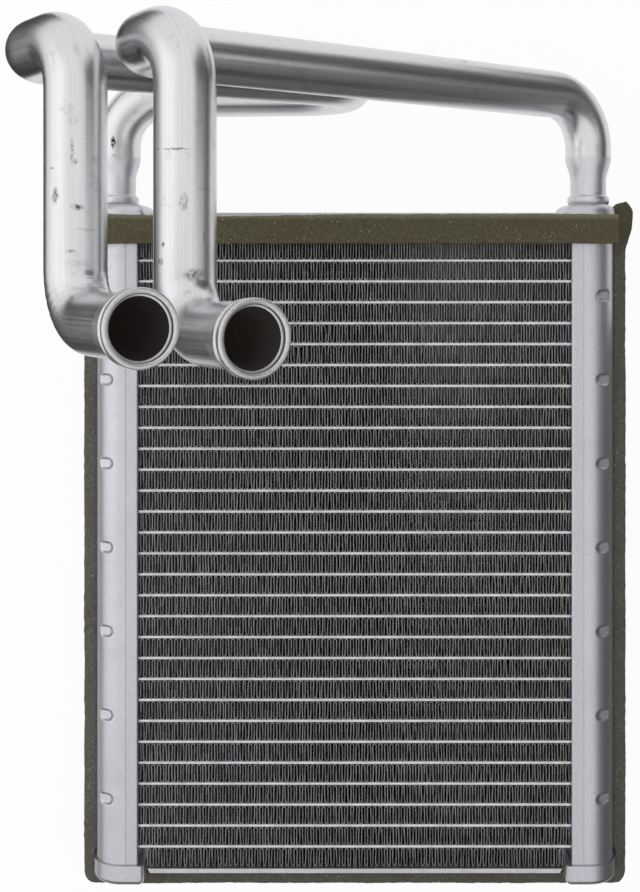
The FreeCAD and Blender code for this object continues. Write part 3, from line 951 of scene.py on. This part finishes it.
@dataclass
class PipeSizes:
    """Sizes of both pipes, in millimetres: their routes and outsides are the source's."""

    radius: float = 8.0
    bore: float = 6.9
    neck: float = 6.25
    neck_insert: float = 3.0
    bead: float = 7.35
    bead_height: float = 3.2
    bead_foot: float = 0.3
    bead_lift: float = 0.01
    bead_chamfer: float = 0.8
    bead_inset: float = 0.1
    bead_fullness: float = 0.7
    neck_length: float = 5.4
    flare: float = 8.2
    stub_bend: float = 18.2
    bend: float = 14.0
    run_rise: float = 38.0
    run_angle: float = 36.3
    run_spacing: float = 22.2
    front_run: float = 180.0
    front_leg: tuple[float, float, float] = (32.3, 76.7, 38.2)
    left_shift: float = 1.3
    rear_rise: float = 1.1
    rear_angle: float = 4.6
    u_turn: float = 20.0
    return_fall: float = 0.9
    leg_spacing: float = 21.9
    rear_leg: tuple[float, float, float] = (37.1, 72.9, 42.5)
    end_angle: float = 32.3
    end_form: float = 10.0
    lip_rise: float = 1.45
    lip_land: float = 1.0
    lip_round: float = 0.45
    groove_width: float = 0.6
    groove_rise: float = 0.9
    bead_rise: float = 1.35
    bead_width: float = 2.0
    mouth_depth: float = 2.6
    socket_start: float = 1.0


class Skin(Enum):
    """Which of a pipe's finishes a stretch of it takes."""

    DRAWN = 0
    FORMED = 1
    BORE = 2
    BRAZED = 3


Ring = tuple[float, float, Skin]


@dataclass
class Pipe:
    """One bent pipe: a necked start in its cap, the run, and a rolled mouth with an open bore."""

    LAY = "lay"

    name: str
    node: str
    route: Route
    sizes: PipeSizes
    materials: Sequence[bpy.types.Material]
    around: int = 72
    bore_depth: float = 62.0
    mouth_wall: float = 0.1
    ledge_depth: float = 1.4
    ledge_slope: float = 0.1
    ledge_width: float = 0.45
    dent: Callable[[float], float] = lambda distance: 0.0

    def neck_rings(self) -> list[Ring]:
        """Rings from inside the cap up to the start of the route, at distances before it."""
        sizes = self.sizes
        top = sizes.bead_height + sizes.neck_length
        end = top + sizes.flare
        half, foot = sizes.bead_height / 2, sizes.neck + sizes.bead_foot
        rings = [
            (-sizes.neck_insert, sizes.neck), (0.0, sizes.neck),
            (sizes.bead_lift, sizes.bead - sizes.bead_chamfer)]
        for k in range(7):
            turn = math.pi * k / 6
            radius = foot + (sizes.bead - foot) * math.sin(turn) ** sizes.bead_fullness
            rings.append((half - (half - sizes.bead_inset) * math.cos(turn), radius))
        rings.append((sizes.bead_height + sizes.bead_foot, sizes.neck))
        rings += [(sizes.bead_height + sizes.neck_length * k / 4, sizes.neck) for k in range(1, 5)]
        for k in range(1, 12):
            share = k / 12
            swell = share * share * (3 - 2 * share)
            rings.append((top + sizes.flare * share, sizes.neck + (sizes.radius - sizes.neck) * swell))
        return [(height - end, radius, Skin.BRAZED) for height, radius in rings]

    def end_rings(self) -> list[Ring]:
        """Rings of the rolled mouth, at distances past the end of the route, and back into the bore."""
        sizes = self.sizes
        lip = sizes.radius + sizes.lip_rise
        rounding = sizes.lip_round
        land = sizes.end_form - rounding - sizes.lip_land
        groove_front = land - rounding
        groove_back = groove_front - sizes.groove_width
        bead_back = groove_back - sizes.bead_width
        floor = sizes.radius + sizes.groove_rise
        mouth = sizes.radius - self.mouth_wall
        tip = sizes.end_form
        rings = [(bead_back * 0.5, sizes.radius), (bead_back, sizes.radius)]
        for k in range(1, 9):
            turn = math.pi * k / 8
            rise = sizes.bead_rise * math.sin(turn) + sizes.groove_rise * k / 8 * (1 - math.sin(turn))
            rings.append((bead_back + sizes.bead_width * k / 8, sizes.radius + rise))
        rings += [(groove_front, floor), (groove_front, lip - rounding)]
        quarter = quarter_turn(4)[1:]
        rings += [(land - rounding * math.cos(t), lip - rounding * (1 - math.sin(t))) for t in quarter]
        rings.append((tip - rounding, lip))
        rings += [(tip - rounding * (1 - math.sin(t)), lip - rounding * (1 - math.cos(t))) for t in quarter]
        rings += [(tip - rounding * (1 - math.cos(t)), mouth + rounding * (1 - math.sin(t))) for t in quarter]
        inner = mouth - self.ledge_width
        return [(distance, radius, Skin.FORMED) for distance, radius in rings] + [
            (tip - self.ledge_depth, mouth, Skin.BORE),
            (tip - self.ledge_depth - self.ledge_slope, inner, Skin.FORMED),
            (tip - sizes.mouth_depth, inner, Skin.BORE), (sizes.socket_start, sizes.bore, Skin.BORE)]

    def rings(self) -> list[tuple[float, Vector, Vector, float, Skin]]:
        """Every ring in order: distance, middle, heading, radius and finish."""
        route, end = self.route, self.route.length
        listed = [(before, *route.place(before), radius, skin) for before, radius, skin in self.neck_rings()]
        listed += [(*station, self.sizes.radius, Skin.DRAWN) for station in route.stations]
        for past, radius, skin in self.end_rings():
            listed.append((end + past, *route.place(end + past), radius, skin))
        inside = [station for station in reversed(route.stations) if station[0] > end - self.bore_depth]
        return listed + [(*station, self.sizes.bore, Skin.BORE) for station in inside]

    def build(self) -> None:
        """Sweeps the rings into one mesh that carries its straightened-out place as an attribute."""
        rings, count = self.rings(), self.around
        vertices, lay, chosen = [], [], []
        heading = rings[0][2]
        across = Vector((1.0, 0.0, 0.0))
        for distance, point, ahead, radius, skin in rings:
            if heading.angle(ahead) > 1e-6:
                across = heading.rotation_difference(ahead) @ across
            across = (across - ahead * across.dot(ahead)).normalized()
            heading = ahead
            beside = ahead.cross(across)
            grown = radius + (self.dent(distance) if skin is Skin.DRAWN else 0.0)
            for j in range(count):
                turn = 2 * math.pi * j / count
                vertices.append(point + (across * math.cos(turn) + beside * math.sin(turn)) * grown)
                lay.append((distance * MM, radius * math.cos(turn) * MM, radius * math.sin(turn) * MM))
        skins = [ring[4] for ring in rings]
        for skin, ahead in zip(skins, skins[1:]):
            chosen += [(skin if skin is Skin.BRAZED else ahead).value] * count
        chosen += [Skin.FORMED.value, Skin.BORE.value]
        faces = loft_faces(len(rings), count)
        piece = make_object(self.name, vertices, faces, self.materials, chosen, crease=38.0)
        carried = piece.data.attributes.new(self.LAY, "FLOAT_VECTOR", "POINT")
        carried.data.foreach_set("vector", [c for place in lay for c in place])
        finish_piece(piece, self.node)


@dataclass
class Plumbing:
    """Both pipes, with the routes that the source gives them."""

    core: CoreSizes
    sizes: PipeSizes = field(default_factory=PipeSizes)
    smudges: tuple[Smudge, ...] = tuple(Smudge(*row) for row in (
        (-74.6, 113.3, 1.1, 2.4, 0.75), (-68.9, 110.5, 1.7, 0.8, 0.7), (-63.6, 111.5, 0.8, 3.6, 0.7),
        (-69.3, 121.8, 0.6, 0.8, 0.55), (-75.8, 120.3, 0.9, 0.5, 0.6), (-68.0, 96.6, 4.2, 1.0, 0.15),
        (-48.4, 97.0, 0.9, 1.1, 0.8), (-47.7, 101.3, 0.5, 0.8, 0.7), (-42.3, 111.7, 1.1, 2.2, 0.35),
        (-39.6, 93.7, 2.8, 1.6, 0.5), (-35.9, 108.8, 0.6, 3.0, 0.5), (-44.6, 124.9, 3.8, 0.22, 0.5),
        (-36.5, 115.1, 2.6, 0.22, 0.45), (-84.4, 139.5, 0.8, 2.0, 0.9, 18.0),
        (-84.0, 133.6, 0.8, 1.4, 0.9, 18.0), (-70.2, 124.5, 0.4, 4.0, 0.4), (-66.2, 105.0, 3.4, 0.4, 0.3),
        (-70.4, 99.5, 1.4, 0.5, 0.4), (-49.4, 125.0, 0.8, 0.3, 0.8), (-37.6, 103.0, 0.3, 2.2, 0.5)))
    ripple_back: float = 14.0
    ripple_reach: float = 9.0
    ripple_height: float = 0.07
    ripple_length: float = 2.6

    def __post_init__(self) -> None:
        """Works out the headings and corners that both routes use."""
        sizes = self.sizes
        turn, end = math.radians(sizes.run_angle), math.radians(sizes.end_angle)
        self.up, self.down = Vector((0, 1, 0)), Vector((0, -1, 0))
        self.along = plan_heading(sizes.run_angle)
        self.forward = Vector((math.sin(turn), 0, math.cos(turn)))
        self.end_heading = Vector((math.sin(end), 0, math.cos(end)))
        middle = (self.core.plate_face + self.core.header_outer) / 2
        height = self.core.cap_end + sizes.run_rise
        depth = self.core.mid_depth
        self.right_stub = Vector((middle, height, depth))
        self.left_stub = Vector((-middle - sizes.left_shift, height + sizes.rear_rise, depth))
        self.front_corner = self.right_stub + self.along * sizes.front_run
        self.stub_start = self.core.cap_end + sizes.bead_height + sizes.neck_length + sizes.flare

    def start(self, corner: Vector) -> Route:
        """A route that rises from a header to the first bend under a corner."""
        route = Route(Vector((corner.x, self.stub_start, corner.z)), self.up)
        route.straight(corner.y - self.stub_start - self.sizes.stub_bend)
        return route

    def leg(self, route: Route, sizes: tuple[float, float, float]) -> None:
        """From the corner of a run: forward, down past the run's end and forward again to the mouth.

        Args:
            route: the route so far.
            sizes: how far forward, down and forward again.
        """
        forward, drop, end = sizes
        bend = self.sizes.bend
        route.straight(forward - 2 * bend)
        route.bend(self.down, bend)
        route.straight(drop - bend - tangent_length(bend, self.down, self.end_heading))
        route.bend(self.end_heading, bend)
        route.straight(end - bend - self.sizes.end_form)

    def front_route(self) -> Route:
        """The pipe that leaves the right header and crosses over the core in front."""
        sizes = self.sizes
        route = self.start(self.right_stub)
        route.bend(self.along, sizes.stub_bend)
        route.straight(sizes.front_run - sizes.stub_bend - sizes.bend)
        route.bend(self.forward, sizes.bend)
        self.leg(route, sizes.front_leg)
        return route

    def rear_route(self) -> Route:
        """The pipe that leaves the left header, crosses behind, turns back and comes forward."""
        sizes = self.sizes
        turn = math.radians(sizes.rear_angle)
        rear = Vector((math.cos(turn), 0, math.sin(turn)))
        back = plan_heading(sizes.run_angle, sizes.return_fall)
        gap = self.right_stub - self.forward * sizes.run_spacing - self.left_stub
        across = rear.x * self.along.z - rear.z * self.along.x
        corner = (gap.x * self.along.z - gap.z * self.along.x) / across
        route = self.start(self.left_stub)
        route.bend(rear, sizes.stub_bend)
        route.straight(corner - sizes.stub_bend - tangent_length(sizes.u_turn, rear, back))
        route.bend(back, sizes.u_turn)
        leg_corner = self.front_corner + self.along * sizes.leg_spacing - self.forward * sizes.run_spacing
        left = (leg_corner - route.point).dot(self.along) / back.dot(self.along)
        route.straight(left - tangent_length(sizes.bend, back, self.forward))
        route.bend(self.forward, sizes.bend)
        self.leg(route, sizes.rear_leg)
        return route

    def ripple(self, end: float) -> Callable[[float], float]:
        """Small wrinkles round the rear pipe at its last bend.

        Args:
            end: length of the rear pipe's route.

        Returns:
            How far the skin stands out at a distance along the pipe.
        """
        sizes = self.sizes
        middle = end - (sizes.rear_leg[2] - sizes.bend - sizes.end_form) - self.ripple_back

        def stand_out(distance: float) -> float:
            """Wrinkle height, in millimetres."""
            along = distance - middle
            window = max(0.0, 1 - abs(along) / self.ripple_reach)
            return self.ripple_height * window * math.sin(2 * math.pi * along / self.ripple_length)

        return stand_out

    def build(self) -> None:
        """Builds both pipes."""
        materials = [finish.material() for finish in (
            DrawnTube("drawn_aluminium_tube", smudges=self.smudges), FormedEnd("rolled_aluminium_end"),
            PaintedShadeBore("aluminium_bore_painted_shade"),
            BrazedAluminium("brazed_aluminium_neck", base="#D9D9DD", shade="#CECED4"))]
        front, rear = self.front_route(), self.rear_route()
        for side, route in (("front", front), ("rear", rear)):
            log.info("%s pipe ends at %s", side, route.place(route.length + self.sizes.end_form)[0])
        wrinkles = self.ripple(rear.length)
        Pipe("bent_pipe_front", "front_pipe", front, self.sizes, materials).build()
        Pipe("bent_pipe_rear", "rear_pipe", rear, self.sizes, materials, dent=wrinkles).build()


@dataclass
class FoamStrip:
    """A strip of sealing foam: the CAD strip's shape with soft edges and an uneven, torn-cell face."""

    name: str
    node: str
    material: bpy.types.Material
    voxel: float = 0.8
    waves: tuple[tuple[float, float], ...] = ((11.0, 0.16), (2.4, 0.14), (0.9, 0.1))
    smoothing: int = 4
    sink: float = 0.1

    def build(self) -> None:
        """Remeshes a copy of the CAD strip and roughens it."""
        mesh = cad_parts[self.node].data.copy()
        mesh.name = self.name
        mesh.materials.clear()
        mesh.materials.append(self.material)
        piece = add_object(self.name, mesh)
        bpy.context.view_layer.objects.active = piece
        mesh.remesh_voxel_size = self.voxel * MM
        bpy.ops.object.voxel_remesh()
        self.soften(piece.data)
        finish_piece(piece, self.node)

    def soften(self, mesh: bpy.types.Mesh) -> None:
        """Rounds the cut edges and moves the skin in and out by a little noise.

        Args:
            mesh: the remeshed strip.
        """
        made = bmesh.new()
        made.from_mesh(mesh)
        for _ in range(self.smoothing):
            bmesh.ops.smooth_vert(
                made, verts=made.verts, factor=0.5, use_axis_x=True, use_axis_y=True, use_axis_z=True)
        made.normal_update()
        moves = []
        for vertex in made.verts:
            height = sum(size * noise.noise(vertex.co / (width * MM)) for width, size in self.waves)
            moves.append(vertex.normal * (height - self.sink) * MM)
        for vertex, move in zip(made.verts, moves):
            vertex.co += move
        made.to_mesh(mesh)
        made.free()
        mesh.shade_smooth()


@dataclass
class Studio:
    """Plain pale floor, soft even light, one key light from the front left, and dark cards out of view.

    A card is x and y of both its ends, how high it stands and its colour. One without height lies just above
    the floor, between two opposite corners. The bright metal mirrors the cards, so its edges come out dark.
    """

    floor_half: float = 1.6
    floor_level: float = -0.0004
    floor_colour: str = "#F2F2F2"
    floor_white: float = 0.95
    world_level: float = 0.83
    world_lean: float = -0.08
    key_direction: tuple[float, float, float] = (-0.8, 0.1, 0.6)
    key_aim: tuple[float, float, float] = (0.0, 0.08, 0.05)
    key_distance: float = 0.95
    key_size: tuple[float, float] = (1.05, 0.9)
    key_radiance: float = 0.3
    card_lift: float = 0.0002
    cards: tuple[tuple[float, float, float, float, float, str], ...] = (
        (0.46, 0.17, 0.46, 0.62, 0.66, "#606060"), (0.46, 0.075, 0.46, 0.17, 0.25, "#888888"),
        (0.46, -0.6, 0.46, 0.075, 0.46, "#888888"), (-0.5, -0.44, 0.6, -0.44, 0.33, "#333333"),
        (-0.40, -0.5, -0.135, 0.5, 0.0, "#333333"), (0.11, -0.6, 0.17, 0.075, 0.0, "#999999"),
        (0.17, -0.6, 0.9, 0.075, 0.0, "#6A6A6A"), (0.11, 0.19, 0.9, 0.3, 0.0, "#6A6A6A"),
        (-0.135, -0.6, 0.105, -0.27, 0.0, "#404040"))

    def background_rays(self, add: Adder) -> Socket:
        """Gives 1 for rays that show a background: to the camera, mirrored by metal or through glass."""
        seen = add("ShaderNodeLightPath", output="Is Camera Ray")
        for kind in ("Is Glossy Ray", "Is Transmission Ray"):
            seen = add("ShaderNodeMath", (seen, add("ShaderNodeLightPath", output=kind)), operation="MAXIMUM")
        return seen

    def sheet(
        self, name: str, corners: Sequence[Sequence[float]], material: bpy.types.Material, seen: bool = True,
    ) -> None:
        """Makes one flat sheet that belongs to the studio.

        Args:
            name: the sheet's name.
            corners: its corners in metres.
            material: its material.
            seen: whether the camera sees it.
        """
        points = [[c / MM for c in corner] for corner in corners]
        piece = make_object(name, points, [(0, 1, 2, 3)], [material])
        piece.visible_camera = seen

    def floor(self) -> None:
        """Lays the floor, which looks white to the camera and in metal, and keeps the core's faint shadow."""
        material, add = empty_material("pale_studio_floor")
        diffuse = add("ShaderNodeBsdfDiffuse", {"Color": self.floor_colour})
        white = add("ShaderNodeEmission", {"Color": "#FFFFFF", "Strength": 1.0})
        seen = add("ShaderNodeMath", (self.background_rays(add), self.floor_white), operation="MULTIPLY")
        add("ShaderNodeOutputMaterial", {"Surface": add("ShaderNodeMixShader", (seen, diffuse, white))})
        half, level = self.floor_half, self.floor_level
        corners = [(-half, -half, level), (half, -half, level), (half, half, level), (-half, half, level)]
        self.sheet("studio_floor", corners, material)

    def world(self) -> None:
        """Lights everything, a little more from the left, and shows white to the camera and in metal."""
        world = bpy.data.worlds.new("studio")
        bpy.context.scene.world = world
        world.use_nodes = True
        world.node_tree.nodes.clear()
        add = partial(add_node, world.node_tree)
        across = add("ShaderNodeSeparateXYZ", (add("ShaderNodeTexCoord", output="Generated"),), "X")
        levels = (self.world_level - self.world_lean, self.world_level + self.world_lean)
        even = add("ShaderNodeMapRange", (across, -1.0, 1.0, *levels))
        strength = add("ShaderNodeMix", {0: self.background_rays(add), 2: even, 3: 1.0}, data_type="FLOAT")
        light = add("ShaderNodeBackground", {"Color": "#FFFFFF", "Strength": strength})
        add("ShaderNodeOutputWorld", {"Surface": light})

    def lamp(self) -> None:
        """Hangs the rectangular key lamp, turned toward the core; a radiance of 1 would be white."""
        light = bpy.data.lights.new("key", "AREA")
        light.shape = "RECTANGLE"
        width, height = self.key_size
        light.size, light.size_y = width, height
        light.energy = self.key_radiance * math.pi * width * height
        hung = add_object("key", light)
        away = Vector(self.key_direction).normalized()
        hung.location = Vector(self.key_aim) + away * self.key_distance
        hung.rotation_euler = away.to_track_quat("Z", "Y").to_euler()

    def place_cards(self) -> None:
        """Places the dark and grey cards, which the camera doesn't see."""
        lift = self.card_lift
        for number, (x0, y0, x1, y1, height, colour) in enumerate(self.cards, start=1):
            material, add = empty_material(f"studio_card_{number}")
            add("ShaderNodeOutputMaterial", {"Surface": add("ShaderNodeBsdfDiffuse", {"Color": colour})})
            corners = [(x0, y0, lift), (x1, y0, lift), (x1, y1, lift), (x0, y1, lift)]
            if height:
                corners = [(x0, y0, 0), (x1, y1, 0), (x1, y1, height), (x0, y0, height)]
            self.sheet(f"studio_card_{number}", corners, material, seen=False)

    def build(self) -> None:
        """Builds the light, the floor and the cards."""
        self.world()
        self.floor()
        self.lamp()
        self.place_cards()


@dataclass
class PhotoCamera:
    """The photograph's camera, straight over the core, its frame shifted as the photograph is cropped."""

    place: tuple[float, float, float] = (0.0, 0.09498, 0.4759)
    focal_pixels: float = 1300.0
    centre_pixels: tuple[float, float] = (354.87, 269.56)
    film: float = 36.0
    nearest: float = 0.01

    def build(self) -> None:
        """Makes the camera and sets it as the scene's."""
        camera = bpy.data.cameras.new("photo_camera")
        camera.sensor_fit = "VERTICAL"
        camera.sensor_height = self.film
        camera.lens = self.focal_pixels / IMAGE_HEIGHT * self.film
        camera.shift_x = (IMAGE_WIDTH / 2 - self.centre_pixels[0]) / IMAGE_HEIGHT
        camera.shift_y = (self.centre_pixels[1] - IMAGE_HEIGHT / 2) / IMAGE_HEIGHT
        camera.clip_start = self.nearest
        held = add_object("photo_camera", camera)
        held.location = self.place
        bpy.context.scene.camera = held


def main() -> None:
    """Builds the studio, the camera and every piece of the heater core in order."""
    logging.basicConfig(level=logging.INFO, format="%(name)s: %(message)s")
    bpy.context.scene.view_settings.view_transform = "Standard"
    Studio().build()
    PhotoCamera().build()
    sizes = CoreSizes()
    Tubes(sizes).dress()
    SidePlates().dress()
    FinPack(sizes).build()
    header_metal = BrazedAluminium("brazed_aluminium_sheet").material()
    plate_metal = BrazedAluminium("brazed_aluminium_plate", base="#CACAD1", shade="#BDBDC4").material()
    for side in Side:
        Header(sizes, side, header_metal, plate_metal).build()
    Plumbing(sizes).build()
    grey_foam = SpongeFoam(
        "cut_polyurethane_foam", tip="#57533F", top_tone_and_highlight_share=0.85, top_tone_and_highlight_mm=(99.0, 107.0)).material()
    # The top strip's top tone is a painted highlight on its upper edge.
    olive_foam = SpongeFoam(
        "cut_polyurethane_foam_olive", base="#5B5643", light="#736E57", dark="#3E3A2B", cast="#594B3C",
        tip="#85826A", top_tone_and_highlight_share=0.75, top_tone_and_highlight_mm=(112.0, 113.6)).material()
    FoamStrip("foam_strip_surround", "foam_surround", grey_foam).build()
    FoamStrip("foam_strip_top", "foam_top_strip", olive_foam, voxel=0.5).build()


if __name__ == "__main__":
    main()
